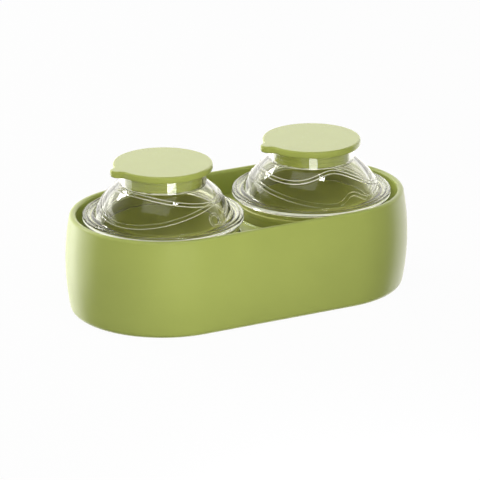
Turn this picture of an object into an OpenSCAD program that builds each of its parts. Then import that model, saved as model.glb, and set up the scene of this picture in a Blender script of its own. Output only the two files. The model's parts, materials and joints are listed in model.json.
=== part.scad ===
// Two-ball ice mould: an oval tub, a lift-out tray and two ball moulds that stand in it.
// Each mould is a bowl and a clear dome pushed together over a flat seal, closed by a soft stopper.
// Millimetres, +Z up, X along the tub. The tub stands on z = 0 and is centred on the origin.

/* [Ice ball] */
// Diameter of the ice ball
ball_d = 60; // [50:1:70]

/* [Bowl] */
// Wall of the bowl below the ball
bowl_wall = 2.4; // [1.8:0.1:3.5]
// Wall of the collar that holds the dome's skirt
collar_wall = 2.05; // [1.5:0.05:3]
// How far the collar reaches below the parting plane
collar_drop = 2.2; // [1.5:0.1:4]
// Gap between the top of the collar and the flange above it
collar_top_gap = 0.3; // [0.2:0.05:1]
// How far the grip ridge stands out of the collar
ridge_out = 0.5; // [0.3:0.05:1]
// Height of the grip ridge's outer face
ridge_w = 1.6; // [1:0.1:2.5]
// Height of the grip ridge's middle above the parting plane
ridge_rise = 2.9; // [2:0.1:4]
// Outside radius of the foot ring
foot_r = 15; // [11:0.5:20]
// Wall of the foot ring
foot_w = 2.2; // [1.5:0.1:4]
// Height of the bowl's lowest point above the bottom of the foot
foot_lift = 0.9; // [0.3:0.1:2]

/* [Seal] */
// Width of the seal ring
seal_w = 1.3; // [0.9:0.1:1.6]
// Thickness of the seal ring
seal_t = 1.2; // [0.8:0.1:2]
// How far the seal stands above its groove
seal_proud = 0.2; // [0.1:0.05:0.5]
// Gap on each side of the seal in its groove
seal_clear = 0.1; // [0.05:0.05:0.2]

/* [Dome] */
// Depth of the middle of the dome's outer curve below the parting plane
dome_drop = 4.5; // [2:0.1:5.5]
// Wall of the dome's skirt at the parting plane
skirt_wall = 2.4; // [2.3:0.1:3.5]
// Radial gap between the skirt and the collar
skirt_clear = 0.15; // [0.1:0.05:0.3]
// Height of the flange's top above the parting plane
flange_rise = 9; // [7.5:0.5:11]
// Thickness of the flange
flange_t = 2.3; // [1.6:0.1:3]
// How far the flange stands out past the collar
flange_over = 2.5; // [1.5:0.1:4]
// Radius of the two beads on the flange's top
flange_bead_r = 0.5; // [0.3:0.05:0.7]
// Distance between the two beads
flange_bead_gap = 2; // [1.6:0.1:2.6]
// Radius of the blend between the dome and the flange
flange_blend_r = 1.6; // [0.8:0.1:2.5]
// Radius of the filling hole
fill_r = 17.8; // [14:0.1:19]
// Wall of the neck around the filling hole
neck_wall = 2.2; // [1.6:0.1:3]
// Height of the neck's top above the top of the ball
neck_over = 0.5; // [0.2:0.1:2]

/* [Dome lines] */
// Width of a raised line on the dome
line_w = 1.6; // [1:0.1:2.5]
// How far a raised line stands out of the dome
line_out = 0.5; // [0.3:0.05:0.8]
// Middle radius of a raised ring on the dome
ring_r = 2.8; // [2:0.1:3.5]

/* [Stopper] */
// Thickness of the stopper's disc
cap_t = 3.3; // [2.6:0.1:5]
// How far the disc stands out past the neck
cap_over = 2.9; // [2:0.05:5]
// Radius of the disc's upper edge
cap_edge_r = 0.4; // [0.2:0.1:1.2]
// Radius of the disc's lower edge
cap_under_r = 1.2; // [0.4:0.1:1.6]
// Radial gap between the plug and the filling hole
plug_clear = 0.3; // [0.25:0.05:0.5]
// How far the sealing ribs stand out of the plug
rib_out = 0.2; // [0.1:0.05:0.2]
// Height of one sealing rib
rib_w = 1; // [0.6:0.1:1.4]
// Number of sealing ribs
rib_count = 2; // [1:1:3]
// How far the pull tab reaches past the disc
tab_reach = 3.8; // [2.5:0.1:8]
// Radius of the pull tab's tip
tab_tip_r = 3.2; // [2.4:0.1:5]
// Radius of the hollow blends beside the pull tab
tab_blend_r = 5; // [3:0.5:14]
// Step from the disc's top down to the tab's top
tab_step = 0.2; // [0.1:0.1:1]

/* [Tray] */
// Radial gap between the bowl's ridge and the well around it
well_clear = 0.5; // [0.3:0.1:1.5]
// Wall of a well
well_wall = 1.4; // [1:0.1:2.5]
// Thickness of a well's floor
well_floor_t = 1.2; // [0.8:0.1:2]
// Width of a well's floor inside the bowl's foot ring
foot_seat = 1.8; // [1:0.1:4]
// Thickness of the deck that joins the wells
deck_t = 1.6; // [1.2:0.1:2.5]
// Depth of the deck's top below the parting plane
deck_drop = 1.6; // [0.5:0.1:2.5]
// Width of the deck outside a well
deck_margin = 2.6; // [1.5:0.1:5]
// Radius of the lip's inner edge around a well's mouth
lip_r = 0.7; // [0.4:0.05:0.8]
// How far the lip stands above the deck
lip_rise = 0.5; // [0.3:0.05:0.6]
// Least gap between the two moulds
mould_gap = 3.8; // [2:0.1:8]

/* [Tub] */
// Gap between the deck's edge and the tub's inner wall
tray_clear = 0.5; // [0.3:0.1:1]
// Wall of the tub at its rim
rim_wall = 2.9; // [2.2:0.1:4]
// Height of the rim above the moulds' flanges
rim_over = 0.6; // [0.5:0.1:4]
// Radius of the rim's outer edge
rim_round = 1.1; // [0.5:0.1:1.4]
// Radius of the rim's inner edge
rim_round_in = 0.8; // [0.4:0.1:1.2]
// Radius of the outer wall's barrel curve
barrel_r = 115; // [90:1:160]
// Height of the widest line of the barrel curve
belly_z = 24; // [20:0.5:28]
// Radius of the outer edge at the bottom
base_round = 3.4; // [2:0.1:6]
// Thickness of the tub's floor
floor_t = 2.4; // [2:0.1:4]
// Radius between the tub's floor and inner wall
floor_round = 2; // [1:0.1:3]
// How much the inner wall leans in from the rim to the floor
tub_draft = 0.4; // [0:0.1:0.8]
// Depth of the hollow under the floor
base_hollow = 0.6; // [0.3:0.1:1]
// Width of the flat rim that the tub stands on
base_band = 5; // [3:0.5:10]

/* [Hidden] */
$fn = 96;

// Overlap that keeps cutting shapes clear of the faces they cut
cut = 1;

// Radii, from the ball outwards
ball_r = ball_d / 2;
bowl_r = ball_r + bowl_wall;
skirt_r = ball_r + skirt_wall;
collar_in_r = skirt_r + skirt_clear;
collar_r = collar_in_r + collar_wall;
ridge_r = collar_r + ridge_out;
flange_r = collar_r + flange_over;
well_r = ridge_r + well_clear;
well_out_r = well_r + well_wall;
deck_r = well_out_r + deck_margin;
tub_in_r = deck_r + tray_clear;
rim_r = tub_in_r + rim_wall;

// Radii around the filling hole
neck_r = fill_r + neck_wall;
cap_r = neck_r + cap_over;
plug_r = fill_r - plug_clear;

// Half the distance between the two moulds' axes
mould_x = max(flange_r, well_out_r) + mould_gap / 2;

// Heights, from the floor upwards
foot_z = floor_t + well_floor_t;
part_z = foot_z + foot_lift + bowl_r;
skirt_z = part_z + seal_proud;
seal_z = skirt_z - seal_t;
flange_z = part_z + flange_rise;
collar_z = flange_z - flange_t - collar_top_gap;
neck_z = part_z + ball_r + neck_over;
cap_z = neck_z + cap_t;
deck_z = part_z - deck_drop;
lip_z = deck_z + lip_rise;
rim_z = flange_z + rim_over;

// Outer curve of the dome, which meets the flange's top right above the skirt
dome_r = norm([skirt_r, flange_rise + dome_drop]);
dome_z = part_z - dome_drop;

// The seal lies in the middle of the skirt's end
seal_in_r = ball_r + (skirt_wall - seal_w) / 2;

// Centre of the barrel curve, which passes through the rim's outer edge
barrel_x = rim_r - sqrt(pow(barrel_r, 2) - pow(rim_z - belly_z, 2));

// Centres of the rounded edges that touch the barrel curve from inside
function barrel_touch_x(r, z) = barrel_x + sqrt(pow(barrel_r - r, 2) - pow(z - belly_z, 2));
base_x = barrel_touch_x(base_round, base_round);
rim_x = barrel_touch_x(rim_round, rim_z - rim_round);

// Raised lines around each dome, as angles seen from the middle of its outer curve: the mean height,
// the swing and heading of a first and a second wave, and a hump's rise, heading and half width
left_lines = [[47.4, [4.2, 161], [3, 36], [0, 0, 10]],
    [38.9, [8.2, 36], [3.1, -71], [0, 0, 10]]];
right_lines = [[36.8, [8, 169], [0.5, -16], [17.2, -90, 33]],
    [28.7, [4.2, 160], [3.3, -10], [7.6, -80, 10.5]]];

// Raised rings on each dome: heading and height, as angles seen from the same place
left_rings = [[-67, 29]];
right_rings = [[60, 36]];

// Number of steps in a raised line
line_steps = 90;

// Colours
leaf_green = [0.64, 0.69, 0.37];
clear = [0.92, 0.95, 0.90, 0.35];
seal_white = [0.90, 0.90, 0.86];

// Unit vector from one point to another
function toward(a, b) = (b - a) / norm(b - a);

// Height of a sphere above its centre at a radius from its axis
function rise_at(sphere_r, r) = sqrt(pow(sphere_r, 2) - pow(r, 2));

// Sweeps a profile, drawn in x > 0, along the oval path around both mould axes
module oval_sweep() {
    for (turn = [0, 180])
        rotate(turn)
            translate([mould_x, 0, 0])
                rotate(-90)
                    rotate_extrude(angle = 180)
                        children();
    for (side = [0, 1])
        mirror([0, side, 0])
            translate([-mould_x, 0, 0])
                rotate([90, 0, 90])
                    linear_extrude(2 * mould_x)
                        children();
}

// Rounds a corner: takes away the wedge between two directions and puts a circle there
module round_corner(centre, r, from, to) {
    far = 4 * r;
    difference() {
        children();
        polygon([centre, centre + far * from, centre + far * (from + to), centre + far * to]);
    }
    translate(centre)
        circle(r);
}

// Places a piece of a mould on its own axis: side is -1 on the left and 1 on the right
module on_mould(side) {
    translate([side * mould_x, 0, 0])
        children();
}

// Outside of the tub: a barrel curve between a rounded base and a rounded rim
module tub_outside() {
    barrel_c = [barrel_x, belly_z];
    base_c = [base_x, base_round];
    rim_c = [rim_x, rim_z - rim_round];
    round_corner(rim_c, rim_round, [0, 1], toward(barrel_c, rim_c))
        round_corner(base_c, base_round, [0, -1], toward(barrel_c, base_c))
            intersection() {
                translate(barrel_c)
                    circle(barrel_r, $fn = 360);
                square([2 * rim_r, rim_z]);
            }
}

// Inside of the tub: a slightly leaning wall, a rounded floor corner and a rounded mouth
module tub_inside() {
    floor_r = tub_in_r - tub_draft;
    corner = [floor_r - floor_round, floor_t + floor_round];
    mouth_z = rim_z - rim_round_in;
    round_corner(corner, floor_round, [0, -1], [1, 0])
        polygon([[0, floor_t], [floor_r, floor_t], [floor_r, corner.y], [tub_in_r, deck_z - deck_t],
            [tub_in_r, rim_z + cut], [0, rim_z + cut]]);
    difference() {
        translate([tub_in_r - cut, mouth_z])
            square([rim_round_in + cut, rim_round_in + cut]);
        translate([tub_in_r + rim_round_in, mouth_z])
            circle(rim_round_in);
    }
}

// Tub: thick oval shell with a hollow under its floor, so that it stands on a flat band
module tub_shell() {
    color(leaf_green)
        difference() {
            oval_sweep()
                tub_outside();
            oval_sweep()
                tub_inside();
            oval_sweep()
                translate([0, -cut])
                    square([base_x - base_band, base_hollow + cut]);
        }
}

// One well of the tray: a round wall with a raised, rounded lip and a floor with a hole
module well_profile() {
    hole_r = foot_r - foot_w - foot_seat;
    lip_out_r = 0.8 * lip_rise;
    round_corner([well_r + lip_r, lip_z - lip_r], lip_r, [0, 1], [-1, 0])
        round_corner([well_out_r - lip_out_r, lip_z - lip_out_r], lip_out_r, [0, 1], [1, 0])
            translate([well_r, floor_t])
                square([well_wall, lip_z - floor_t]);
    translate([hole_r, floor_t])
        square([well_r + well_wall / 2 - hole_r, well_floor_t]);
}

// Tray: an oval deck that joins the two wells
module mould_tray() {
    color(leaf_green) {
        difference() {
            oval_sweep()
                translate([0, deck_z - deck_t])
                    square([deck_r, deck_t]);
            for (side = [-1, 1])
                on_mould(side)
                    translate([0, 0, deck_z - deck_t - cut])
                        cylinder(r = well_r + lip_r, h = deck_t + 2 * cut);
        }
        for (side = [-1, 1])
            on_mould(side)
                rotate_extrude()
                    well_profile();
    }
}

// Outside of the bowl: lower half of the ball's shell, a collar, a grip ridge and a foot ring
module bowl_outside() {
    ridge_z = part_z + ridge_rise;
    collar_low = part_z - collar_drop;
    blend_low = collar_low - collar_wall;
    intersection() {
        translate([0, part_z])
            circle(bowl_r);
        square([bowl_r, part_z]);
    }
    polygon([[0, blend_low], [rise_at(bowl_r, part_z - blend_low), blend_low],
        [collar_r, collar_low], [collar_r, collar_z], [0, collar_z]]);
    polygon([[0, ridge_z - ridge_w / 2 - ridge_out], [collar_r, ridge_z - ridge_w / 2 - ridge_out],
        [ridge_r, ridge_z - ridge_w / 2], [ridge_r, ridge_z + ridge_w / 2],
        [collar_r, ridge_z + ridge_w / 2 + ridge_out], [0, ridge_z + ridge_w / 2 + ridge_out]]);
    translate([foot_r - foot_w, foot_z])
        square([foot_w, part_z - rise_at(bowl_r, foot_r) - foot_z]);
}

// Bowl: green lower half of a mould, with a seat for the dome's skirt and a groove for the seal
module bowl(side) {
    color(leaf_green)
        on_mould(side)
            rotate_extrude()
                difference() {
                    bowl_outside();
                    translate([0, part_z])
                        circle(ball_r);
                    translate([0, part_z])
                        square([collar_in_r, collar_z - part_z + cut]);
                    translate([seal_in_r - seal_clear, seal_z])
                        square([seal_w + 2 * seal_clear, seal_t + cut]);
                }
}

// Seal: flat soft ring in the groove of the bowl's ledge
module seal(side) {
    color(seal_white)
        on_mould(side)
            rotate_extrude()
                translate([seal_in_r, seal_z])
                    square([seal_w, seal_t]);
}

// Body of a dome: a shell around the ball with a skirt, a beaded flange and a filling neck
module dome_body() {
    bore_z = part_z + rise_at(ball_r, fill_r);
    flange_low = flange_z - flange_t;
    blend_z = flange_z + flange_blend_r;
    blend = [rise_at(dome_r + flange_blend_r, blend_z - dome_z), blend_z];
    bead_x = flange_r - flange_bead_r;
    difference() {
        union() {
            intersection() {
                translate([0, dome_z])
                    circle(dome_r);
                translate([0, flange_low])
                    square([dome_r, neck_z - flange_low]);
            }
            translate([0, skirt_z])
                square([skirt_r, flange_z - skirt_z]);
            translate([0, flange_low])
                square([flange_r, flange_t]);
            difference() {
                translate([0, flange_low])
                    square([blend.x, blend.y - flange_low]);
                translate(blend)
                    circle(flange_blend_r);
            }
            for (x = [bead_x - flange_bead_gap, bead_x])
                translate([x, flange_z])
                    circle(flange_bead_r);
            translate([0, bore_z])
                square([neck_r, neck_z - bore_z]);
        }
        translate([0, part_z])
            circle(ball_r);
        translate([0, part_z])
            square([fill_r, neck_z - part_z + cut]);
    }
}

// Angle from one heading to another, from -180 to 180
function turn_between(from, to) = (to - from + 540) % 360 - 180;

// Height angle of a raised line at one heading
function line_height(line, heading) =
    line[0] + line[1][0] * cos(heading - line[1][1]) + line[2][0] * cos(2 * (heading - line[2][1]))
    + line[3][0] * exp(-pow(turn_between(line[3][1], heading) / line[3][2], 2));

// Point at a radius, heading and height angle around the middle of the dome's outer curve
function around_dome(r, heading, height) =
    [r * cos(heading) * cos(height), r * sin(heading) * cos(height), r * sin(height)];

// Raised line: a closed band with sloping sides that follows its waves around the dome
module raised_line(line) {
    foot = asin(line_w / 2 / dome_r);
    corners = [[dome_r - line_out, -foot], [dome_r - line_out, foot],
        [dome_r + line_out, foot / 2], [dome_r + line_out, -foot / 2]];
    sides = len(corners);
    points = [for (i = [0:line_steps - 1], corner = corners)
        let (heading = 360 * i / line_steps)
            around_dome(corner[0], heading, line_height(line, heading) + corner[1])];
    function at(i, j) = (i % line_steps) * sides + j % sides;
    faces = [for (i = [0:line_steps - 1], j = [0:sides - 1])
        each [[at(i, j), at(i + 1, j + 1), at(i, j + 1)], [at(i, j), at(i + 1, j), at(i + 1, j + 1)]]];
    polyhedron(points, faces);
}

// Raised ring: a round bead sunk halfway into the dome
module raised_ring(heading, height) {
    rotate([0, 90 - height, heading])
        translate([0, 0, rise_at(dome_r, ring_r)])
            rotate_extrude()
                translate([ring_r, 0])
                    circle(line_out);
}

// Dome: clear upper half of a mould, with raised lines and a raised ring outside
module dome(side) {
    color(clear)
        on_mould(side) {
            rotate_extrude()
                dome_body();
            translate([0, 0, dome_z]) {
                for (line = side < 0 ? left_lines : right_lines)
                    raised_line(line);
                for (ring = side < 0 ? left_rings : right_rings)
                    raised_ring(ring[0], ring[1]);
            }
        }
}

// Disc and plug of a stopper: rounded edges above, sealing ribs below
module stopper_profile() {
    plug_z = part_z + rise_at(ball_r, plug_r);
    rib_step = (neck_z - plug_z) / (rib_count + 1);
    translate([0, neck_z])
        square([cap_r - cap_under_r, cap_t]);
    translate([0, neck_z + cap_under_r])
        square([cap_r - cap_edge_r, cap_t - cap_under_r]);
    translate([0, neck_z + cap_under_r])
        square([cap_r, cap_t - cap_under_r - cap_edge_r]);
    translate([cap_r - cap_under_r, neck_z + cap_under_r])
        circle(cap_under_r);
    translate([cap_r - cap_edge_r, cap_z - cap_edge_r])
        circle(cap_edge_r);
    translate([0, plug_z])
        square([plug_r, neck_z + cap_under_r - plug_z]);
    for (i = [1:rib_count])
        translate([plug_r + rib_out - rib_w / 2, plug_z + i * rib_step])
            circle(rib_w / 2);
}

// Outline of the pull tab: a round tip joined to the disc by hollow blends
module tab_outline() {
    tip = [-(cap_r + tab_reach - tab_tip_r), 0];
    disc_to_blend = cap_r + tab_blend_r;
    tip_to_blend = tab_tip_r + tab_blend_r;
    blend_x = (pow(tip.x, 2) + pow(disc_to_blend, 2) - pow(tip_to_blend, 2)) / (2 * tip.x);
    blend_y = rise_at(disc_to_blend, blend_x);
    difference() {
        polygon([[0, 0], [blend_x, blend_y], tip, [blend_x, -blend_y]]);
        for (edge = [-1, 1])
            translate([blend_x, edge * blend_y])
                circle(tab_blend_r);
    }
    translate(tip)
        circle(tab_tip_r);
}

// Stopper: soft disc with a pull tab over a ribbed plug whose hollow end completes the ball
module stopper(side) {
    color(leaf_green)
        on_mould(side)
            difference() {
                union() {
                    rotate_extrude()
                        stopper_profile();
                    translate([0, 0, neck_z])
                        linear_extrude(cap_t - tab_step)
                            tab_outline();
                }
                translate([0, 0, part_z])
                    sphere(ball_r);
            }
}

tub_shell();
mould_tray();
bowl(-1);  // left_bowl
seal(-1);  // left_seal
dome(-1);  // left_dome
stopper(-1);  // left_stopper
bowl(1);  // right_bowl
seal(1);  // right_seal
dome(1);  // right_dome
stopper(1);  // right_stopper
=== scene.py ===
import json
import math

import bmesh
import bpy
from bpy.props import FloatProperty, FloatVectorProperty, PointerProperty
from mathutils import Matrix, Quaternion, Vector

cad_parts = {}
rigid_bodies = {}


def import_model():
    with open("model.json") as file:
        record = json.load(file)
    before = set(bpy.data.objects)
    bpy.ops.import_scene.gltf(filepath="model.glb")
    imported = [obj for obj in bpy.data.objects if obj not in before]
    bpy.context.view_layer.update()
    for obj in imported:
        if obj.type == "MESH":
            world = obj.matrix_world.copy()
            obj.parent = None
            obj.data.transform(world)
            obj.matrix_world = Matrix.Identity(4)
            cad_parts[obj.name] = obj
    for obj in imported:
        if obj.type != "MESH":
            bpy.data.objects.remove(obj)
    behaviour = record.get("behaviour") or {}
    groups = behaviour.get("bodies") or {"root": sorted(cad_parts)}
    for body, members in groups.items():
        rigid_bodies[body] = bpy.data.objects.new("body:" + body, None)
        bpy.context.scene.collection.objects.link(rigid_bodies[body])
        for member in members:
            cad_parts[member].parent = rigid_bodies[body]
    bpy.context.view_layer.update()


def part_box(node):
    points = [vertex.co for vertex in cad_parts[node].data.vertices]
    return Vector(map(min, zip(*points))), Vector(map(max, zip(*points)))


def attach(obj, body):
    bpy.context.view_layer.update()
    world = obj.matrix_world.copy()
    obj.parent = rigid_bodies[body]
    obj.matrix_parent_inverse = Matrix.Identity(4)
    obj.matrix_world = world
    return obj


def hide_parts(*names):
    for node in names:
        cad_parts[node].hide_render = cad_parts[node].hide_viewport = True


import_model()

bl_info = {
    "name": "Two-ball ice mould",
    "version": (1, 0, 0),
    "blender": (4, 5, 0),
    "location": "3D View > Sidebar > Ice Mould",
    "description": "Dresses the packed ice mould: tub, tray, bowls, seals, clear domes and stoppers",
    "category": "Object",
}

MM = 0.001
SIDES = {"left": -1, "right": 1}

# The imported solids' boxes, from which the main sizes follow
tub_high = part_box("tub_shell")[1]
tray_low, tray_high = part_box("mould_tray")
bowl_low, bowl_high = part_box("right_bowl")
seal_low, seal_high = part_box("right_seal")
dome_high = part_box("right_dome")[1]
stopper_low, stopper_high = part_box("right_stopper")

# Half the distance between the two mould axes
mould_x = (bowl_low.x + bowl_high.x) / 2

# Raised lines around each dome, in degrees seen from the middle of its outer curve: the mean height,
# the swing and heading of a first and a second wave, and a hump's rise, heading and half width
DOME_LINES = {
    "left": [(47.4, (4.2, 161), (3.0, 36), (0.0, 0, 10)), (38.9, (8.2, 36), (3.1, -71), (0.0, 0, 10))],
    "right": [(36.8, (8.0, 169), (0.5, -16), (17.2, -90, 33)),
              (28.7, (4.2, 160), (3.3, -10), (7.6, -80, 10.5))],
}
# Raised rings on each dome: heading and height, in degrees seen from the same place
DOME_RINGS = {"left": [(-67, 29)], "right": [(60, 36)]}
# The last degrees below the neck, in which the raised lines fade out
LINE_FADE = 1.5

# The backdrop behind the mould fades out between these upward parts of a direction, and between these
# parts towards the camera, as seen in a gloss and through a clear dome
BACKDROP_TOP = (0.45, 0.75)
GLOSS_BACKDROP_END = (-0.55, -0.33)
CLEAR_BACKDROP_END = (-0.35, 0.25)
# Brightness of the rest of the room, and of what reaches matte faces through the domes
ROOM_DIM = 0.12
DOME_GLOW = 0.3
WHITE = (1, 1, 1, 1)
WARM_WHITE = (1, 0.985, 0.93, 1)
# The floor: the grey that light bounces off, and the share of plain white where it is seen
PAPER_GREY = (0.55, 0.55, 0.55, 1)
PAPER_WHITE_SHARE = 0.97


def length(name, default, description):
    """Length property, with its default in millimetres."""
    return FloatProperty(name=name, description=description, default=default * MM, min=0, unit="LENGTH")


def colour(name, default, description):
    """Colour property, in linear red, green and blue."""
    return FloatVectorProperty(name=name, description=description, default=default, size=3, min=0, max=1,
                               subtype="COLOR")


def share(name, default, description):
    """Property that goes from none to all."""
    return FloatProperty(name=name, description=description, default=default, min=0, max=1, subtype="FACTOR")


def level(name, default, description):
    """Brightness property, where 1 makes a white surface white."""
    return FloatProperty(name=name, description=description, default=default, min=0)


class TubSizes(bpy.types.PropertyGroup):
    """Sizes of the tub and of the tray in it"""

    mouth_gap: length("Mouth gap", 0.5, "Gap between the tray's edge and the tub's inner wall")
    rim_round: length("Outer rim round", 1.5, "Radius of the rim's outer edge")
    rim_round_in: length("Inner rim round", 1.3, "Radius of the rim's inner edge")
    barrel_radius: length("Barrel radius", 115, "Radius of the outer wall's barrel curve")
    belly_height: length("Belly height", 24, "Height of the widest line of the barrel curve")
    base_round: length("Base round", 3.4, "Radius of the outer edge at the bottom")
    base_band: length("Base band", 5, "Width of the flat band that the tub stands on")
    base_hollow: length("Base hollow", 0.6, "Depth of the hollow under the floor")
    hollow_edge: length("Hollow edge", 0.2, "Radius of the edges of the hollow under the floor")
    floor_round: length("Floor round", 2, "Radius between the floor and the inner wall")
    wall_foot: length("Wall foot", 3, "Height of the inner wall's upright foot")
    lean: length("Lean", 0.4, "How much the inner wall leans in towards the floor")
    deck_thickness: length("Deck thickness", 1.6, "Thickness of the tray's deck")
    deck_root: length("Deck root", 0.5, "Radius between a well's wall and the deck's underside")
    well_gap: length("Well gap", 0.5, "Gap between a bowl's ridge and the tray's well around it")
    well_wall: length("Well wall", 1.4, "Wall of a well")
    well_floor: length("Well floor", 1.2, "Thickness of a well's floor")
    well_round: length("Well round", 0.4, "Radius between a well's floor and its wall")
    well_foot: length("Well foot", 0.8, "Radius of a well's lower outer edge")
    well_hole: length("Well hole", 11, "Radius of the hole in a well's floor")
    lip_round: length("Lip round", 0.7, "Radius of the lip's inner edge around a well's mouth")
    lip_edge: length("Lip edge", 0.4, "Radius of the lip's outer edge")
    lip_root: length("Lip root", 0.15, "Radius between the lip and the deck")
    lip_rise: length("Lip rise", 0.5, "How far the lip stands above the deck")
    edge_round: length("Edge round", 0.3, "Radius of the tray's small edges")


class MouldSizes(bpy.types.PropertyGroup):
    """Sizes of the two halves of a mould"""

    ball_radius: length("Ball radius", 30, "Radius of the ice ball")
    bowl_wall: length("Bowl wall", 2.4, "Wall of the bowl below the ball")
    bowl_land: length("Bowl land", 0.3, "Height of the upright band inside the bowl's lip")
    foot_lift: length("Foot lift", 0.9, "Height of the bowl's lowest point above the foot's bottom")
    foot_radius: length("Foot radius", 15, "Outside radius of the foot ring")
    foot_wall: length("Foot wall", 2.2, "Wall of the foot ring")
    foot_edge: length("Foot edge", 0.4, "Radius of the foot ring's edges")
    collar_wall: length("Collar wall", 2.05, "Wall of the collar that holds the dome's skirt")
    collar_drop: length("Collar drop", 2.2, "How far the collar reaches below the parting plane")
    collar_root: length("Collar root", 0.15, "Radius between the parting plane and the collar")
    collar_edge_in: length("Inner collar edge", 0.4, "Radius of the collar's inner top edge")
    collar_edge: length("Outer collar edge", 0.5, "Radius of the collar's outer top edge")
    collar_foot: length("Collar foot", 0.6, "Radius of the collar's lower edge")
    ridge_out: length("Ridge out", 0.5, "How far the grip ridge stands out of the collar")
    ridge_height: length("Ridge height", 1.6, "Height of the grip ridge's outer face")
    ridge_rise: length("Ridge rise", 2.9, "Height of the grip ridge above the parting plane")
    ridge_edge: length("Ridge edge", 0.3, "Radius of the grip ridge's edges")
    seal_width: length("Seal width", 1.3, "Width of the seal ring")
    seal_edge: length("Seal edge", 0.3, "Radius of the seal ring's edges")
    groove_gap: length("Groove gap", 0.1, "Gap on each side of the seal in its groove")
    groove_edge: length("Groove edge", 0.1, "Radius of the groove's upper edges")
    groove_round: length("Groove round", 0.2, "Radius in the bottom of the groove")
    lip_edge: length("Lip edge", 0.05, "Radius of the inner edges where bowl and dome meet")
    skirt_gap: length("Skirt gap", 0.15, "Gap between the dome's skirt and the bowl's collar")
    skirt_land: length("Skirt land", 0.12, "Height of the upright band inside the skirt's foot")
    skirt_edge: length("Skirt edge", 0.3, "Radius of the skirt's outer edge and of its root")
    dome_drop: length("Dome drop", 4.5, "Depth of the outer curve's middle below the parting plane")
    flange_rise: length("Flange rise", 9, "Height of the flange's top above the parting plane")
    flange_thickness: length("Flange thickness", 2.3, "Thickness of the flange")
    flange_edge: length("Flange edge", 0.5, "Radius of the flange's lower edge")
    flange_blend: length("Flange blend", 1.6, "Radius between the dome and the flange")
    # The band on the flange's outer face that takes the milky plastic, a painted highlight
    highlight_low: length("Highlight low", 0.8, "How far above the flange's underside the frosted band starts")
    highlight_top: length("Highlight top", 0.35, "How far below the flange's top the frosted band ends")
    bead_radius: length("Bead radius", 0.5, "Radius of the two beads on the flange")
    bead_gap: length("Bead gap", 2, "Distance between the two beads")
    fill_radius: length("Filling hole", 17.8, "Radius of the filling hole")
    neck_wall: length("Neck wall", 2.2, "Wall of the neck around the filling hole")
    neck_blend: length("Neck blend", 0.05, "Radius between the dome and the neck")
    neck_edge: length("Neck edge", 0.4, "Radius of the neck's top edges")
    line_width: length("Line width", 2.3, "Width of a raised line on the dome")
    line_edge: length("Line edge", 0.3, "Width of the slope on each side of a raised line")
    line_height: length("Line height", 0.26, "How far a raised line stands out")
    line_trough: share("Line trough", 0.3, "Height of a raised line's trough as a share of its crests")
    ring_radius: length("Ring radius", 2.8, "Middle radius of a raised ring on the dome")
    ring_width: length("Ring width", 1.61, "Width of a raised ring")
    ring_height: length("Ring height", 0.39, "How far a raised ring stands out")
    contact_gap: length("Contact gap", 0.05, "Air left where a clear face is pressed on another piece")


class StopperSizes(bpy.types.PropertyGroup):
    """Sizes of a stopper"""

    edge_round: length("Edge round", 0.8, "Radius of the disc's upper edge")
    under_round: length("Under round", 1.2, "Radius of the disc's lower edge")
    tab_tip: length("Tab tip", 3.2, "Radius of the pull tab's tip")
    tab_blend: length("Tab blend", 5, "Radius of the hollow blends beside the pull tab")
    tab_step: length("Tab step", 0.05, "Step from the disc's top down to the tab's top")
    step_inset: length("Step inset", 0.9, "How far inside the disc's outline the step starts")
    step_width: length("Step width", 1.1, "Width of the step")
    plug_gap: length("Plug gap", 0.3, "Gap between the plug and the filling hole")
    plug_root: length("Plug root", 0.3, "Radius between the disc and the plug")
    plug_edge: length("Plug edge", 0.2, "Radius of the plug's lower edge")
    plug_bevel: length("Plug bevel", 0.8, "Width of the straight stretch inside the plug's lower edge")
    bevel_rise: length("Bevel rise", 0.55, "Rise of the stretch inside the plug's lower edge")
    rib_out: length("Rib out", 0.2, "How far a sealing rib stands out of the plug")
    rib_height: length("Rib height", 1, "Height of one sealing rib")
    rib_root: length("Rib root", 0.15, "Radius above and below a sealing rib")
    rib_tip: length("Rib tip", 0.3, "Radius of a sealing rib's tip")


class Finishes(bpy.types.PropertyGroup):
    """Colours and gloss of the materials"""

    tub_green: colour("Tub green", (0.362, 0.416, 0.095), "Colour of the tub's plastic")
    tray_green: colour("Tray green", (0.362, 0.416, 0.095), "Colour of the tray's plastic")
    bowl_green: colour("Bowl green", (0.375, 0.393, 0.10), "Colour of the bowls' plastic")
    stopper_green: colour("Stopper green", (0.385, 0.432, 0.095), "Colour of the stoppers' silicone")
    seal_white: colour("Seal white", (0.80, 0.80, 0.74), "Colour of the seals' silicone")
    clear_tint: colour("Clear tint", (0.97, 0.965, 0.87), "Tint of the domes' clear plastic")
    plastic_roughness: share("Plastic roughness", 0.36, "Roughness of the green plastic")
    tray_roughness: share("Tray roughness", 0.22, "Roughness of the tray's plastic")
    silicone_roughness: share("Silicone roughness", 0.25, "Roughness of the silicone")
    clear_roughness: share("Clear roughness", 0.012, "Roughness of the domes' clear plastic")
    # The milky plastic of the flange's band is a painted highlight
    highlight_roughness: share("Highlight roughness", 0.35, "Roughness of the domes' frosted band")
    highlight_clearness: share("Highlight clearness", 0.2, "How much light the frosted band lets through")


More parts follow.
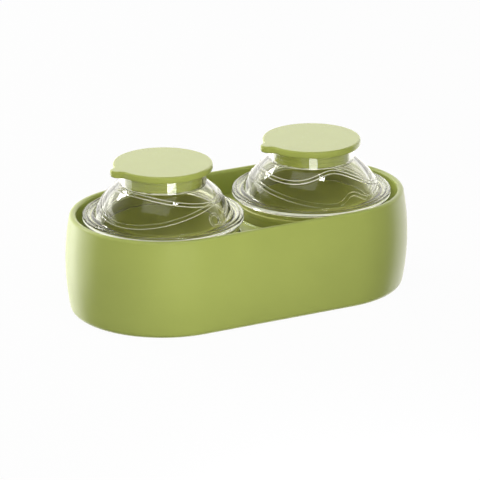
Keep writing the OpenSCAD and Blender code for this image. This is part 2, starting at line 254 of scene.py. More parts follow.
class Studio(bpy.types.PropertyGroup):
    """Camera and light"""

    heading: FloatProperty(name="Heading", description="Camera's angle around the mould",
                           default=math.radians(-28.37), subtype="ANGLE")
    height: FloatProperty(name="Height", description="Camera's angle above the floor",
                          default=math.radians(19.16), subtype="ANGLE")
    distance: length("Distance", 1910.8, "Camera's distance from the mould")
    focal_length: FloatProperty(name="Focal length", description="Camera's focal length in millimetres",
                                default=308.06, min=1, subtype="DISTANCE_CAMERA")
    aim_height: length("Aim height", 26.54, "Height of the point that the camera looks at")
    aim_aside: length("Aim aside", 0.97, "How far to the right of the middle the camera looks")
    sky: level("Sky", 0.15, "Light from all around")
    front: level("Front", 3.2, "Low lamp in front")
    near: level("Near", 13.8, "Small lamp close in front")
    side: level("Side", 4.2, "Lamp behind on the left")
    overhead: level("Overhead", 1.75, "Wide lamp overhead")
    panel: level("Panel", 2.8, "Panel behind on the left")
    backdrop: level("Backdrop", 2.2, "Backdrop as seen in a gloss")
    key: level("Key", 20, "Small lamp behind")
    top: level("Top", 25, "Small lamp overhead")
    card: level("Card", 11, "Card that the necks mirror")
    brim: level("Brim", 20, "Lamps that light the flanges' frosted bands")
    lip: level("Lip", 40, "Lamp that the tray's lip mirrors")


class IceMould(bpy.types.PropertyGroup):
    """All settings of the ice mould"""

    tub: PointerProperty(type=TubSizes)
    mould: PointerProperty(type=MouldSizes)
    stopper: PointerProperty(type=StopperSizes)
    finish: PointerProperty(type=Finishes)
    studio: PointerProperty(type=Studio)


def settings():
    """The scene's own settings."""
    return bpy.context.scene.ice_mould


class Value:
    """Socket in a node tree; arithmetic on it adds Math nodes."""

    def __init__(self, graph, socket):
        self.graph = graph
        self.socket = socket

    def math(self, operation, *others):
        inputs = dict(enumerate((self,) + others))
        return self.graph.add("ShaderNodeMath", {"operation": operation}, inputs)

    def reflected(self, operation, other):
        return self.graph.add("ShaderNodeMath", {"operation": operation}, {0: other, 1: self})

    def __add__(self, other):
        return self.math("ADD", other)

    def __radd__(self, other):
        return self.reflected("ADD", other)

    def __sub__(self, other):
        return self.math("SUBTRACT", other)

    def __rsub__(self, other):
        return self.reflected("SUBTRACT", other)

    def __mul__(self, other):
        return self.math("MULTIPLY", other)

    def __rmul__(self, other):
        return self.reflected("MULTIPLY", other)


class Graph:
    """Node tree that nodes are added to."""

    def __init__(self, tree):
        self.tree = tree
        tree.nodes.clear()

    def add(self, kind, setup=None, inputs=None, output=0):
        """Adds a node, sets it up, fills its sockets with values or links, and gives one output."""
        node = self.tree.nodes.new(kind)
        for key, value in (setup or {}).items():
            setattr(node, key, value)
        for key, value in (inputs or {}).items():
            socket = node.inputs[key]
            if isinstance(value, Value):
                self.tree.links.new(value.socket, socket)
            else:
                socket.default_value = value
        return Value(self, node.outputs[output]) if node.outputs else None

    def mix(self, amount, first, second):
        """Colour between two colours."""
        return self.add("ShaderNodeMix", {"data_type": "RGBA"}, {0: amount, 6: first, 7: second}, 2)

    def ray(self, fact):
        """A fact about the ray that is being traced."""
        return self.add("ShaderNodeLightPath", output=fact)

    def seen_rays(self):
        """1 for rays to the eye, for those in a gloss and for those through something clear."""
        return [self.ray(f"Is {kind} Ray") for kind in ("Camera", "Glossy", "Transmission")]

    def noise(self, scale, detail=2.0, roughness=0.5):
        """Cloudy value from 0 to 1 over a piece, with about scale clouds to the metre."""
        place = self.add("ShaderNodeTexCoord", output="Object")
        return self.add("ShaderNodeTexNoise", {},
                        {"Vector": place, "Scale": scale, "Detail": detail, "Roughness": roughness})

    def step(self, value, low, high):
        """Smooth step of a value from 0 at low to 1 at high."""
        return self.add("ShaderNodeMapRange", {"interpolation_type": "SMOOTHSTEP"},
                        {"Value": value, "From Min": low, "From Max": high})

    def bump(self, height, strength, distance):
        """Normal bent by a height."""
        return self.add("ShaderNodeBump", {},
                        {"Height": height, "Strength": strength, "Distance": distance})

    def surface(self, inputs):
        """Principled surface as the tree's result."""
        shader = self.add("ShaderNodeBsdfPrincipled", {}, inputs)
        self.add("ShaderNodeOutputMaterial", {}, {"Surface": shader})


def scaled(rgb, factor):
    """Colour made lighter or darker, with its alpha."""
    return (*(min(1.0, c * factor) for c in rgb), 1.0)


def new_material(name):
    """Empty material and its graph."""
    material = bpy.data.materials.new(name)
    material.use_nodes = True
    return material, Graph(material.node_tree)


def satin_plastic(name, rgb, roughness):
    """Moulded plastic with a fine spark-eroded grain and faint clouds from the melt."""
    material, graph = new_material(name)
    cloud = graph.noise(scale=55, detail=4)
    grain = graph.noise(scale=2600, detail=3, roughness=0.6)
    scuff = graph.step(graph.noise(scale=420, detail=5, roughness=0.65), low=0.58, high=0.74)
    body = graph.mix(cloud, scaled(rgb, 0.93), scaled(rgb, 1.07))
    worn = graph.mix(scuff * 0.10, body, scaled(rgb, 1.25))
    graph.surface({
        "Base Color": worn,
        "Roughness": (grain - 0.5) * 0.12 + scuff * 0.06 + roughness,
        "IOR": 1.49,
        "Normal": graph.bump(grain, strength=0.05, distance=0.25 * MM),
    })
    return material


def soft_silicone(name, rgb, roughness):
    """Dull silicone with a dusty bloom."""
    material, graph = new_material(name)
    cloud = graph.noise(scale=80, detail=3)
    grain = graph.noise(scale=3200, detail=2, roughness=0.6)
    dust = graph.step(graph.noise(scale=1500, detail=3, roughness=0.7), low=0.62, high=0.75)
    body = graph.mix(cloud, scaled(rgb, 0.95), scaled(rgb, 1.05))
    graph.surface({
        "Base Color": graph.mix(dust * 0.12, body, scaled(rgb, 1.35)),
        "Roughness": (grain - 0.5) * 0.10 + dust * 0.08 + roughness,
        "IOR": 1.41,
        "Sheen Weight": 0.04,
        "Sheen Roughness": 0.5,
        "Normal": graph.bump(grain, strength=0.06, distance=0.2 * MM),
    })
    return material


def clear_plastic(name, rgb, roughness):
    """Clear plastic with a polished face and faint scuffs."""
    material, graph = new_material(name)
    scuff = graph.step(graph.noise(scale=900, detail=5, roughness=0.7), low=0.60, high=0.78)
    ripple = graph.noise(scale=160)
    graph.surface({
        "Base Color": graph.mix(graph.noise(scale=70), scaled(rgb, 0.985), scaled(rgb, 1.0)),
        "Roughness": scuff * 0.02 + roughness,
        "IOR": 1.5,
        "Transmission Weight": 1.0,
        "Normal": graph.bump(ripple, strength=0.008, distance=0.3 * MM),
    })
    return material


def painted_highlight_plastic(name, rgb, roughness, clearness):
    """Milky copy of the clear plastic: a painted highlight for the light carried through the flange's edge.
    """
    material, graph = new_material(name)
    grain = graph.noise(scale=1800, detail=3, roughness=0.6)
    graph.surface({
        "Base Color": graph.mix(grain, scaled(rgb, 0.94), scaled(rgb, 1.0)),
        "Roughness": (grain - 0.5) * 0.2 + roughness,
        "IOR": 1.5,
        "Transmission Weight": clearness,
        "Normal": graph.bump(grain, strength=0.05, distance=0.2 * MM),
    })
    return material


def finish_of(name):
    """Material of one kind of piece, made once."""
    found = bpy.data.materials.get(name)
    if found:
        return found
    look = settings().finish
    if name == "clear_dome_plastic":
        return clear_plastic(name, look.clear_tint, look.clear_roughness)
    # The milky band on the flange's edge paints the highlight of light carried through it
    if name == "painted_highlight_edge_plastic":
        return painted_highlight_plastic(name, look.clear_tint, look.highlight_roughness, look.highlight_clearness)
    if name == "soft_green_silicone":
        return soft_silicone(name, look.stopper_green, look.silicone_roughness)
    if name == "soft_white_silicone":
        return soft_silicone(name, look.seal_white, look.silicone_roughness)
    rgb, roughness = {
        "tub_green_plastic": (look.tub_green, look.plastic_roughness),
        "tray_green_plastic": (look.tray_green, look.tray_roughness),
        "bowl_green_plastic": (look.bowl_green, look.plastic_roughness),
    }[name]
    return satin_plastic(name, rgb, roughness)


def eased(t):
    """Smooth step from 0 to 1 that is flat at both ends."""
    t = max(0.0, min(1.0, t))
    return t * t * (3 - 2 * t)


def arc(across, up, radius, start, end, steps):
    """Points of an arc in a profile, between two angles in degrees."""
    turns = [math.radians(start + (end - start) * i / steps) for i in range(steps + 1)]
    return [(across + radius * math.cos(t), up + radius * math.sin(t)) for t in turns]


def rounded(corners, steps=6):
    """Profile through corners (across, up, radius), each turned into an arc of its radius."""
    points = []
    for i, (across, up, radius) in enumerate(corners):
        here = Vector((across, up))
        if radius == 0 or i in (0, len(corners) - 1):
            points.append(tuple(here))
            continue
        before = (Vector(corners[i - 1][:2]) - here).normalized()
        after = (Vector(corners[i + 1][:2]) - here).normalized()
        half = before.angle(after) / 2
        middle = here + (before + after).normalized() * radius / math.sin(half)
        first = here + before * radius / math.tan(half) - middle
        last = here + after * radius / math.tan(half) - middle
        turn = first.angle(last)
        for k in range(steps + 1):
            t = k / steps
            point = middle + (first * math.sin((1 - t) * turn) + last * math.sin(t * turn)) / math.sin(turn)
            points.append(tuple(point))
    return points


def held_flat(profile, gap=0.15 * MM):
    """Profile with extra points near the ends of its long straight runs, which keep them flat."""
    points = [profile[0]]
    for first, last in zip(profile, profile[1:]):
        first, last = Vector(first), Vector(last)
        run = last - first
        if run.length > 8 * gap:
            points.append(tuple(first + run.normalized() * gap))
            points.append(tuple(last - run.normalized() * gap))
        points.append(tuple(last))
    return points


def turned(profile, side, steps=160):
    """Rings of points that turn a profile about a mould's axis."""
    axis = side * mould_x
    turns = [2 * math.pi * i / steps for i in range(steps)]
    return [[(axis + r * math.cos(t), r * math.sin(t), z) for t in turns] for r, z in profile]


def around_oval(profile, arc_steps=96, straight_steps=24):
    """Rings of points that carry a profile around the oval path over both mould axes."""
    stations = []
    for end in (1, -1):
        for i in range(arc_steps):
            t = math.pi * i / arc_steps - math.pi / 2 + (0 if end > 0 else math.pi)
            stations.append((end * mould_x, math.cos(t), math.sin(t)))
        for i in range(straight_steps):
            stations.append((end * mould_x * (1 - 2 * i / straight_steps), 0.0, float(end)))
    return [[(x + r * nx, r * ny, z) for x, nx, ny in stations] for r, z in profile]


def piece(name, sheets, body, nodes, finish, skip=None, other=None):
    """Smooth mesh through sheets of closed rings, on its body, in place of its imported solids.

    Skip tells, from a ring's number and those of two neighbours on it, which faces are left out. Other
    holds a second finish and the numbers of the rings whose faces, up to the next ring, take it.
    """
    points, faces, marks = [], [], []
    for rings in sheets:
        base, count = len(points), len(rings[0])
        points.extend(point for ring in rings for point in ring)
        for i in range(len(rings) - 1):
            for j in range(count):
                k = (j + 1) % count
                if skip and skip(i, j, k):
                    continue
                low, high = base + i * count, base + (i + 1) * count
                faces.append((low + j, low + k, high + k, high + j))
                marks.append(1 if other and i in other[1] else 0)
    mesh = bpy.data.meshes.new(name)
    mesh.from_pydata(points, [], faces)
    mesh.polygons.foreach_set("material_index", marks)
    work = bmesh.new()
    work.from_mesh(mesh)
    bmesh.ops.remove_doubles(work, verts=work.verts, dist=0.002 * MM)
    bmesh.ops.recalc_face_normals(work, faces=work.faces)
    for face in work.faces:
        face.smooth = True
    work.to_mesh(mesh)
    work.free()
    made = bpy.data.objects.new(name, mesh)
    bpy.context.collection.objects.link(made)
    made.data.materials.append(finish_of(finish))
    if other:
        made.data.materials.append(finish_of(other[0]))
    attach(made, body)
    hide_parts(*nodes)
    return made


def part_height():
    """Height of the parting plane, which is the ball's middle."""
    mould = settings().mould
    return bowl_low.z + mould.foot_lift + mould.ball_radius + mould.bowl_wall


class MOULD_OT_tub(bpy.types.Operator):
    """Oval tub: barrel-shaped wall, rounded rim, leaning inside and a hollow under the floor"""

    bl_idname = "ice_mould.tub"
    bl_label = "Tub"

    def execute(self, context):
        size = settings().tub
        rim_z, floor_z = tub_high.z, tray_low.z
        inside = tray_high.y + size.mouth_gap
        barrel_x = tub_high.y - size.barrel_radius
        corner = inside - size.lean

        def touch(radius, z):
            reach = size.barrel_radius - radius
            return barrel_x + math.sqrt(reach ** 2 - (z - size.belly_height) ** 2)

        def lean_at(x, z):
            return math.degrees(math.atan2(z - size.belly_height, x - barrel_x))

        rim_c = (touch(size.rim_round, rim_z - size.rim_round), rim_z - size.rim_round)
        base_c = (touch(size.base_round, size.base_round), size.base_round)
        if rim_c[0] < inside + size.rim_round_in:
            raise RuntimeError("the rim's rounds are too large for its wall")
        rim_turn, base_turn = lean_at(*rim_c), lean_at(*base_c)
        deck_low = tray_high.z - size.lip_rise - size.deck_thickness
        band, hollow = base_c[0] - size.base_band, size.base_hollow
        profile = rounded([
            (0, floor_z, 0), (corner, floor_z, size.floor_round), (corner, floor_z + size.wall_foot, 0),
            (inside, deck_low, 0), (inside, rim_z, size.rim_round_in), (rim_c[0], rim_z, 0)], 10)
        profile += arc(*rim_c, size.rim_round, 90, rim_turn, 10)
        profile += arc(barrel_x, size.belly_height, size.barrel_radius, rim_turn, base_turn, 48)
        profile += arc(*base_c, size.base_round, base_turn, -90, 16)
        profile += rounded([(base_c[0], 0, 0), (band, 0, size.hollow_edge),
                            (band, hollow, size.hollow_edge), (0, hollow, 0)])
        piece("tub_body", [around_oval(held_flat(profile))], "tub", ["tub_shell"],
              "tub_green_plastic")
        return {"FINISHED"}


class MOULD_OT_tray(bpy.types.Operator):
    """Tray: oval deck with two wells whose mouths have a raised lip"""

    bl_idname = "ice_mould.tray"
    bl_label = "Tray"

    def execute(self, context):
        size = settings().tub
        deck_r, lip_top, floor_z = tray_high.y, tray_high.z, tray_low.z
        top = lip_top - size.lip_rise
        under = top - size.deck_thickness
        well = bowl_high.x - mould_x + size.well_gap
        outer = well + size.well_wall
        well_floor = floor_z + size.well_floor
        edge = size.edge_round
        close = 1e-6

        # Each half of the tray runs around one well and ends at the seam in the tray's middle
        corner = math.degrees(math.atan2(deck_r, -mould_x))
        end_steps, side_steps, seam_steps = 96, 16, 48
        turns = [-90 + 180 * i / end_steps for i in range(end_steps)]
        turns += [90 + (corner - 90) * i / side_steps for i in range(side_steps)]
        turns += [corner + (360 - 2 * corner) * i / seam_steps for i in range(seam_steps)]
        turns += [360 - corner + (corner - 90) * i / side_steps for i in range(side_steps)]

        def reach(turn):
            x, y = math.cos(math.radians(turn)), math.sin(math.radians(turn))
            if x >= -close:
                return deck_r
            return min(deck_r / max(abs(y), close), mould_x / -x)

        def shared(turn):
            return corner - close <= turn <= 360 - corner + close

        top_join, under_join = outer + 0.5 * MM, outer + 1 * MM
        wall = held_flat(rounded([
            (top_join, top, 0), (outer, top, size.lip_root), (outer, lip_top, size.lip_edge),
            (well, lip_top, size.lip_round), (well, well_floor, size.well_round),
            (size.well_hole, well_floor, edge), (size.well_hole, floor_z, edge),
            (outer, floor_z, size.well_foot), (outer, under, size.deck_root), (under_join, under, 0)], 8))
        rings = []
        for place in range(4):
            ring = []
            for turn in turns:
                end, cut = reach(turn), 0 if shared(turn) else edge
                corners = [(end - cut, under), (end, under + cut), (end, top - cut), (end - cut, top)]
                ring.append(corners[place])
            rings.append(ring)
        rings += [[(r, z)] * len(turns) for r, z in wall]
        rings.append(rings[0])
        sheets = [[[(side * (mould_x + r * math.cos(math.radians(t))), r * math.sin(math.radians(t)), z)
                    for (r, z), t in zip(ring, turns)] for ring in rings] for side in (1, -1)]
        piece("tray_body", sheets, "tray", ["mould_tray"], "tray_green_plastic",
              skip=lambda i, j, k: i == 1 and shared(turns[j]) and shared(turns[k] % 360))
        return {"FINISHED"}


class MOULD_OT_bowls(bpy.types.Operator):
    """Bowls: lower half of each ball's shell, with a ridged collar, a seal groove and a foot ring"""

    bl_idname = "ice_mould.bowls"
    bl_label = "Bowls"

    def execute(self, context):
        size = settings().mould
        mid = part_height()
        ball, shell = size.ball_radius, size.ball_radius + size.bowl_wall
        ridge = bowl_high.x - mould_x
        collar = ridge - size.ridge_out
        collar_in = collar - size.collar_wall
        groove_out = seal_high.x - mould_x + size.groove_gap
        groove_in = groove_out - 2 * size.groove_gap - size.seal_width
        groove_edge, groove_round, ridge_edge = size.groove_edge, size.groove_round, size.ridge_edge
        ridge_low = mid + size.ridge_rise - size.ridge_height / 2
        ridge_top = ridge_low + size.ridge_height
        low = mid - size.collar_drop
        blend = low - size.collar_wall
        foot, foot_in = size.foot_radius, size.foot_radius - size.foot_wall

        def down(radius):
            return mid - math.sqrt(shell ** 2 - radius ** 2)

        def angle(radius):
            return -math.degrees(math.acos(radius / shell))

        meet = math.sqrt(shell ** 2 - (mid - blend) ** 2)
        profile = arc(0, mid, ball, -90, -1, 56)
        profile += rounded([
            (ball, mid - size.bowl_land, 0), (ball, mid, size.lip_edge), (groove_in, mid, groove_edge),
            (groove_in, seal_low.z, groove_round), (groove_out, seal_low.z, groove_round),
            (groove_out, mid, groove_edge), (collar_in, mid, size.collar_root),
            (collar_in, bowl_high.z, size.collar_edge_in), (collar, bowl_high.z, size.collar_edge),
            (collar, ridge_top + size.ridge_out, ridge_edge), (ridge, ridge_top, ridge_edge),
            (ridge, ridge_low, ridge_edge), (collar, ridge_low - size.ridge_out, ridge_edge),
            (collar, low, size.collar_foot), (meet, blend, 0)])
        profile += arc(0, mid, shell, angle(meet), angle(foot), 40)[1:]
        profile += rounded([
            (foot, down(foot), 0), (foot, bowl_low.z, size.foot_edge),
            (foot_in, bowl_low.z, size.foot_edge), (foot_in, down(foot_in), 0)])[1:]
        profile += arc(0, mid, shell, angle(foot_in), -90, 16)[1:]
        for name, side in SIDES.items():
            piece(f"{name}_lower_bowl", [turned(held_flat(profile), side)], f"{name}_lower_half",
                  [f"{name}_bowl"], "bowl_green_plastic")
        return {"FINISHED"}


class MOULD_OT_seals(bpy.types.Operator):
    """Seals: flat soft rings with rounded edges in the bowls' grooves"""

    bl_idname = "ice_mould.seals"
    bl_label = "Seals"

    def execute(self, context):
        size = settings().mould
        edge, low, top = size.seal_edge, seal_low.z, part_height()
        out = seal_high.x - mould_x
        inner = out - size.seal_width
        middle = (inner + out) / 2
        profile = rounded([(middle, low, 0), (out, low, edge), (out, top, edge),
                           (inner, top, edge), (inner, low, edge), (middle, low, 0)], 5)
        for name, side in SIDES.items():
            piece(f"{name}_seal_ring", [turned(profile, side)], f"{name}_lower_half",
                  [f"{name}_seal"], "soft_white_silicone")
        return {"FINISHED"}


def crested(off, width, size):
    """Cross-section of a raised line: a soft crest along each side and a shallow trough between them."""
    crest = width / 2 - size.line_edge
    rise = eased(1 - abs(off - crest) / size.line_edge)
    return max(rise, size.line_trough if off < crest else 0.0)


def line_rise(lines, rings, heading, height, radius, size):
    """How far the raised lines and rings stand out of a dome, at a heading and a height in degrees."""
    rise = 0.0
    for mean, first, second, (hump, place, half) in lines:
        middle, slope = mean, 0.0
        for n, (swing, start) in enumerate((first, second), 1):
            turn = math.radians(n * (heading - start))
            middle += swing * math.cos(turn)
            slope -= math.radians(swing) * n * math.sin(turn)
        off = math.remainder(heading - place, 360) / half
        middle += hump * math.exp(-off ** 2)
        slope -= 2 * off / half * hump * math.exp(-off ** 2)
        slope /= math.cos(math.radians(height))
        away = abs(math.radians(height - middle)) * radius / math.sqrt(1 + slope ** 2)
        rise = max(rise, size.line_height * crested(away, size.line_width, size))
    for ring_heading, ring_height in rings:
        a, b = math.radians(height), math.radians(ring_height)
        turn = math.radians(heading - ring_heading)
        apart = math.sin(a) * math.sin(b) + math.cos(a) * math.cos(b) * math.cos(turn)
        away = abs(math.acos(max(-1.0, min(1.0, apart))) * radius - size.ring_radius)
        rise = max(rise, size.ring_height * crested(away, size.ring_width, size))
    return rise


class MOULD_OT_domes(bpy.types.Operator):
    """Domes: clear upper halves with a skirt, a beaded flange, raised lines and a filling neck"""

    bl_idname = "ice_mould.domes"
    bl_label = "Clear domes"

    def execute(self, context):
        size = settings().mould
        mid = part_height()
        ball, drop = size.ball_radius, size.dome_drop
        flange = dome_high.x - mould_x
        skirt = bowl_high.x - mould_x - size.ridge_out - size.collar_wall - size.skirt_gap
        shell = math.hypot(skirt, size.flange_rise + drop)
        flange_top = mid + size.flange_rise
        flange_low = flange_top - size.flange_thickness
        bead, blend = size.bead_radius, size.flange_blend
        highlight_low, highlight_top = flange_low + size.highlight_low, flange_top - size.highlight_top
        foot = mid + size.contact_gap
        fill, neck = size.fill_radius, size.fill_radius + size.neck_wall
        neck_top = dome_high.z - size.contact_gap
        bore = math.degrees(math.acos(fill / ball))
        blend_turn = math.degrees(math.asin((size.flange_rise + drop + blend) / (shell + blend)))
        blend_x = (shell + blend) * math.cos(math.radians(blend_turn))
        neck_turn = math.degrees(math.acos((neck + size.neck_blend) / (shell + size.neck_blend)))
        neck_low = mid - drop + (shell + size.neck_blend) * math.sin(math.radians(neck_turn))
        steps, rows = 720, 180
        # The outline starts and ends at the seam on the neck's top, and close is near enough to be equal
        seam, close = fill + 1 * MM, 0.01 * MM

        inner = rounded([(seam, neck_top, 0), (fill, neck_top, size.neck_edge),
                         (fill, mid + ball * math.sin(math.radians(bore)), 0)])
        inner += arc(0, mid, ball, bore, 0.4, 64)[1:]
        outer = rounded([
            (ball, foot + size.skirt_land, 0), (ball, foot, size.lip_edge), (skirt, foot, size.skirt_edge),
            (skirt, flange_low, size.skirt_edge), (flange, flange_low, size.flange_edge),
            (flange, highlight_low, 0), (flange, highlight_top, 0), (flange, flange_top, 0)])
        outer += arc(flange - bead, flange_top, bead, 0, 180, 14)[1:]
        outer += arc(flange - bead - size.bead_gap, flange_top, bead, 0, 180, 14)
        outer += arc(blend_x, flange_top + blend, blend, -90, blend_turn - 180, 10)
        profile = held_flat(inner + outer)
        plain = turned(profile, 1, steps)
        # Rows on the flange's outer face that take the milky plastic, a painted highlight
        painted_highlight = {i for i, (r, z) in enumerate(profile)
                   if r > flange - close and highlight_low - close < z < highlight_top - close}
        neck_rows = arc(neck + size.neck_blend, neck_low, size.neck_blend, neck_turn - 180, -180, 8)
        neck_rows += rounded([(neck, neck_low, 0), (neck, neck_top, size.neck_edge),
                              (seam, neck_top, 0)])[1:]
        for name, side in SIDES.items():
            rings = [[(x - mould_x + side * mould_x, y, z) for x, y, z in ring] for ring in plain]
            for i in range(1, rows):
                height = blend_turn + (neck_turn - blend_turn) * i / rows
                ring = []
                for j in range(steps):
                    heading = 360 * j / steps
                    rise = line_rise(DOME_LINES[name], DOME_RINGS[name], heading, height, shell, size)
                    rise *= min(1.0, (neck_turn - height) / LINE_FADE)
                    across = (shell + rise) * math.cos(math.radians(height))
                    ring.append((side * mould_x + across * math.cos(math.radians(heading)),
                                 across * math.sin(math.radians(heading)),
                                 mid - drop + (shell + rise) * math.sin(math.radians(height))))
                rings.append(ring)
            rings += turned(held_flat(neck_rows), side, steps)
            made = piece(f"{name}_clear_dome", [rings], f"{name}_upper_half", [f"{name}_dome"],
                         "clear_dome_plastic", other=("painted_highlight_edge_plastic", painted_highlight))
            # The lamps light the bowls through the domes
            made.visible_shadow = False
        return {"FINISHED"}


class MOULD_OT_stoppers(bpy.types.Operator):
    """Stoppers: soft discs with a pull tab over a ribbed plug whose hollow end completes the ball"""

    bl_idname = "ice_mould.stoppers"
    bl_label = "Stoppers"

    def execute(self, context):
        size, mould = settings().stopper, settings().mould
        mid, ball = part_height(), mould.ball_radius
        disc, low, top = stopper_high.y, dome_high.z, stopper_high.z
        tip_x = mould_x - stopper_low.x - size.tab_tip
        to_blend = disc + size.tab_blend
        blend_x = (tip_x ** 2 + to_blend ** 2 - (size.tab_tip + size.tab_blend) ** 2) / (2 * tip_x)
        blend_turn = math.acos(blend_x / to_blend)
        blend_y = to_blend * math.sin(blend_turn)
        along = size.tab_tip / (size.tab_tip + size.tab_blend)
        tip_turn = math.atan2(blend_y * along, tip_x + (blend_x - tip_x) * along)

        def outline(turn):
            off = abs(math.remainder(turn - math.pi, 2 * math.pi))
            if off < tip_turn:
                return tip_x * math.cos(off) + math.sqrt(size.tab_tip ** 2 - (tip_x * math.sin(off)) ** 2)
            if off < blend_turn:
                swing = off - blend_turn
                return to_blend * math.cos(swing) - math.sqrt(
                    size.tab_blend ** 2 - (to_blend * math.sin(swing)) ** 2)
            return disc

        def drop(radius):
            return size.tab_step * eased((radius - disc + size.step_inset) / size.step_width)

        # Headings around the disc, closer together at the tab and its blends
        tab_steps, disc_steps = 60, 140
        tab_reach = 1.2 * blend_turn
        turns = [math.pi + tab_reach * i / tab_steps for i in range(-tab_steps, tab_steps + 1)]
        rest = 2 * (math.pi - tab_reach) / disc_steps
        turns += [math.pi + tab_reach + rest * i for i in range(1, disc_steps)]
        shape = [(outline(t), t) for t in turns]

        plug = mould.fill_radius - size.plug_gap
        plug_z = mid + math.sqrt(ball ** 2 - plug ** 2)
        plug_in = plug - size.plug_bevel
        rib_gap = (low - plug_z) / 3
        below = [(plug + 0.8 * MM, low, 0), (plug, low, size.plug_root)]
        for i in (2, 1):
            rib = plug_z + i * rib_gap
            below += [(plug, rib + size.rib_height / 2, size.rib_root),
                      (plug + size.rib_out, rib, size.rib_tip),
                      (plug, rib - size.rib_height / 2, size.rib_root)]
        below += [(plug, plug_z, size.plug_edge), (plug_in, plug_z + size.bevel_rise, 0)]
        below = rounded(below, 4)
        below += arc(0, mid, ball, math.degrees(math.acos(plug_in / ball)), 90, 20)[1:]

        edge, under, round_steps = size.edge_round, size.under_round, 8
        rings = []
        for part in [0.0, 0.25, 0.5, 0.7] + [0.7 + 0.3 * i / 16 for i in range(1, 17)]:
            rings.append([((r - edge) * part, top - drop((r - edge) * part), t) for r, t in shape])
        for k in range(1, round_steps + 1):
            a = math.pi / 2 * k / round_steps
            out, fall = edge * math.sin(a) - edge, edge * (1 - math.cos(a))
            rings.append([(r + out, top - drop(r + out) - fall, t) for r, t in shape])
        for k in range(round_steps + 1):
            a = math.pi / 2 * k / round_steps
            out, lift = under * math.cos(a) - under, under * (1 - math.sin(a))
            rings.append([(r + out, low + lift, t) for r, t in shape])
        rings += [[(r, z, t) for t in turns] for r, z in below]
        for name, side in SIDES.items():
            placed = [[(side * mould_x + r * math.cos(t), r * math.sin(t), z) for r, z, t in ring]
                      for ring in rings]
            piece(f"{name}_soft_stopper", [placed], f"{name}_cap", [f"{name}_stopper"],
                  "soft_green_silicone")
        return {"FINISHED"}


def direction(heading, height):
    """Unit vector from the mould to a place at a heading around it and a height above the floor."""
    return Vector((math.sin(heading) * math.cos(height), -math.cos(heading) * math.cos(height),
                   math.sin(height)))


def aim():
    """Point that the camera and the lamps are set around."""
    return Vector((0, 0, settings().studio.aim_height))


def only(ending):
    """Collection of the pieces whose names end alike, for lamps that shine on them alone."""
    found = bpy.data.collections.new(f"only_{ending}")
    for made in bpy.data.objects:
        if made.name.endswith(ending):
            found.objects.link(made)
    return found


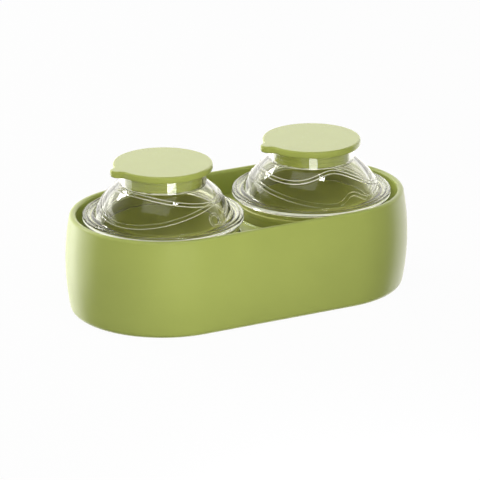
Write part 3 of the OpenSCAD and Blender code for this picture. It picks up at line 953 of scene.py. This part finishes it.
class MOULD_OT_stage(bpy.types.Operator):
    """Stage: pale floor, white surroundings, soft lamps and the camera"""

    bl_idname = "ice_mould.stage"
    bl_label = "Stage"

    def execute(self, context):
        context.scene.view_settings.view_transform = "Standard"
        self.floor(context.scene)
        self.surroundings(context.scene)
        self.lamps()
        self.camera(context.scene)
        return {"FINISHED"}

    def floor(self, scene):
        """Floor that bounces light as grey paper does, but looks white where it is seen."""
        far = 6.0
        corners = [(-far, -far, 0), (far, -far, 0), (far, far, 0), (-far, far, 0)]
        mesh = bpy.data.meshes.new("floor")
        mesh.from_pydata(corners, [], [(0, 1, 2, 3)])
        floor = bpy.data.objects.new("floor", mesh)
        floor.location.z = -0.1 * MM
        floor.visible_glossy = False
        scene.collection.objects.link(floor)
        material, graph = new_material("pale_floor")
        eye, gloss, through = graph.seen_rays()
        seen = eye.math("MAXIMUM", gloss).math("MAXIMUM", through)
        paper = graph.add("ShaderNodeBsdfDiffuse", {}, {"Color": PAPER_GREY})
        white = graph.add("ShaderNodeEmission", {}, {"Color": WHITE, "Strength": 1.0})
        shown = graph.add("ShaderNodeMixShader", {}, {0: seen * PAPER_WHITE_SHARE, 1: paper, 2: white})
        graph.add("ShaderNodeOutputMaterial", {}, {"Surface": shown})
        floor.data.materials.append(material)

    def surroundings(self, scene):
        """World that is white to the eye, mirrors as a backdrop in a dim room, and gives a faint light."""
        studio = settings().studio
        world = bpy.data.worlds.new("white_surroundings")
        scene.world = world
        world.use_nodes = True
        graph = Graph(world.node_tree)
        look = graph.add("ShaderNodeTexCoord", output="Generated")
        x, y, up = (graph.add("ShaderNodeSeparateXYZ", {}, {0: look}, n) for n in range(3))
        toward = x * math.sin(studio.heading) - y * math.cos(studio.heading)
        low = 1 - graph.step(up, *BACKDROP_TOP)
        backdrop = (1 - graph.step(toward, *GLOSS_BACKDROP_END)) * low * studio.backdrop
        beyond = (1 - graph.step(toward, *CLEAR_BACKDROP_END)) * low
        eye, gloss, through = graph.seen_rays()
        matte = graph.ray("Diffuse Depth").math("MINIMUM", 1)
        mirrored = gloss * (1 - through)
        shiny = mirrored * (ROOM_DIM + backdrop) + through * (ROOM_DIM + beyond * (1 - ROOM_DIM))
        dull = (1 - mirrored) * (1 - through) + matte
        seen = shiny * (1 - matte) + dull.math("MINIMUM", 1) * (through * matte * DOME_GLOW + studio.sky)
        shade = graph.mix(eye, WARM_WHITE, WHITE)
        strength = eye.math("MAXIMUM", seen)
        shown = graph.add("ShaderNodeBackground", {}, {"Color": shade, "Strength": strength})
        graph.add("ShaderNodeOutputWorld", {}, {"Surface": shown})

    def lamps(self):
        """Soft lamps around the mould, some of them for single kinds of pieces."""
        studio = settings().studio
        hidden = {"gloss": False, "through": False}
        clear = only("clear_dome")
        self.lamp("front_lamp", studio.front, place=(-12, 1, 0.9), shape=(0.6, 0.1), **hidden)
        self.lamp("near_lamp", studio.near, place=(-15, 2, 0.26), shape=(0.12, 0.05), **hidden)
        self.lamp("side_lamp", studio.side, place=(-145, 13, 0.9), shape=(0.7, 0.6), **hidden)
        self.lamp("overhead_lamp", studio.overhead, place=(-50, 66, 1.2), shape=(1.1, 1.1), gloss=False)
        self.lamp("left_panel", studio.panel, place=(-141, -8, 0.9), shape=(0.8, 0.5))
        self.lamp("key_lamp", studio.key, place=(-153.5, 36, 1.2), shape=(0.22, 0.22))
        self.lamp("top_lamp", studio.top, place=(24, 71, 1.4), shape=(0.17, 0.17), turn=45)
        self.lamp("neck_card", studio.card, place=(-15.2, -7.2, 0.214), shape=(0.084, 0.017),
                  lights=False, target=clear)
        # Two lamps that shine on the domes alone brighten the flange's painted highlight band
        for heading in (-100, 45):
            self.lamp("brim_lamp", studio.brim, place=(heading, 48, 0.7), shape=(0.3, 0.3),
                      target=clear, **hidden)
        self.lamp("lip_lamp", studio.lip, place=(152, 50, 1.0), shape=(0.9, 0.5),
                  lights=False, target=only("tray_body"))

    def lamp(self, name, brightness, place, shape, turn=0, lights=True, gloss=True, through=True,
             target=None):
        """Soft rectangular lamp that is aimed at the middle.

        Place is its heading and height in degrees and its distance in metres, shape its two sides.
        Lights, gloss and through say whether it lights matte faces, shows in a gloss, and shows through
        something clear. Target can be a collection of the only pieces that it shines on.
        """
        heading, height, distance = place
        back = direction(math.radians(heading), math.radians(height))
        light = bpy.data.lights.new(name, "AREA")
        light.shape = "RECTANGLE"
        light.size, light.size_y = shape
        light.energy = brightness * math.pi * shape[0] * shape[1]
        made = bpy.data.objects.new(name, light)
        made.location = aim() + back * distance
        roll = Quaternion((0, 0, 1), math.radians(turn))
        made.rotation_euler = ((-back).to_track_quat("-Z", "Y") @ roll).to_euler()
        made.visible_camera = False
        made.visible_diffuse = lights
        made.visible_glossy = gloss
        made.visible_transmission = through
        made.light_linking.receiver_collection = target
        bpy.context.scene.collection.objects.link(made)

    def camera(self, scene):
        """Long-lens camera at the studio's heading and height."""
        studio = settings().studio
        made = bpy.data.objects.new("camera", bpy.data.cameras.new("camera"))
        scene.collection.objects.link(made)
        made.data.sensor_width = 36
        made.data.lens = studio.focal_length
        made.data.clip_start, made.data.clip_end = 0.05, 50
        back = direction(studio.heading, studio.height)
        aside = Vector((math.cos(studio.heading), math.sin(studio.heading), 0))
        made.location = aim() + back * studio.distance + aside * studio.aim_aside
        made.rotation_euler = (-back).to_track_quat("-Z", "Y").to_euler()
        scene.camera = made


OPERATORS = (MOULD_OT_tub, MOULD_OT_tray, MOULD_OT_bowls, MOULD_OT_seals, MOULD_OT_domes,
             MOULD_OT_stoppers, MOULD_OT_stage)


class MOULD_PT_panel(bpy.types.Panel):
    """Lists the pieces of the ice mould and their sizes"""

    bl_idname = "MOULD_PT_panel"
    bl_label = "Ice Mould"
    bl_space_type = "VIEW_3D"
    bl_region_type = "UI"
    bl_category = "Ice Mould"

    def draw(self, context):
        for operator in OPERATORS:
            self.layout.operator(operator.bl_idname)
        for name in ("tub", "mould", "stopper", "finish", "studio"):
            group = getattr(context.scene.ice_mould, name)
            box = self.layout.box()
            for prop in group.__annotations__:
                box.prop(group, prop)


CLASSES = (TubSizes, MouldSizes, StopperSizes, Finishes, Studio, IceMould, *OPERATORS, MOULD_PT_panel)


def register():
    for kind in CLASSES:
        bpy.utils.register_class(kind)
    bpy.types.Scene.ice_mould = PointerProperty(type=IceMould)


def unregister():
    del bpy.types.Scene.ice_mould
    for kind in reversed(CLASSES):
        bpy.utils.unregister_class(kind)


def main():
    register()
    bpy.ops.ice_mould.tub()
    bpy.ops.ice_mould.tray()
    bpy.ops.ice_mould.bowls()
    bpy.ops.ice_mould.seals()
    bpy.ops.ice_mould.domes()
    bpy.ops.ice_mould.stoppers()
    bpy.ops.ice_mould.stage()


if __name__ == "__main__":
    main()
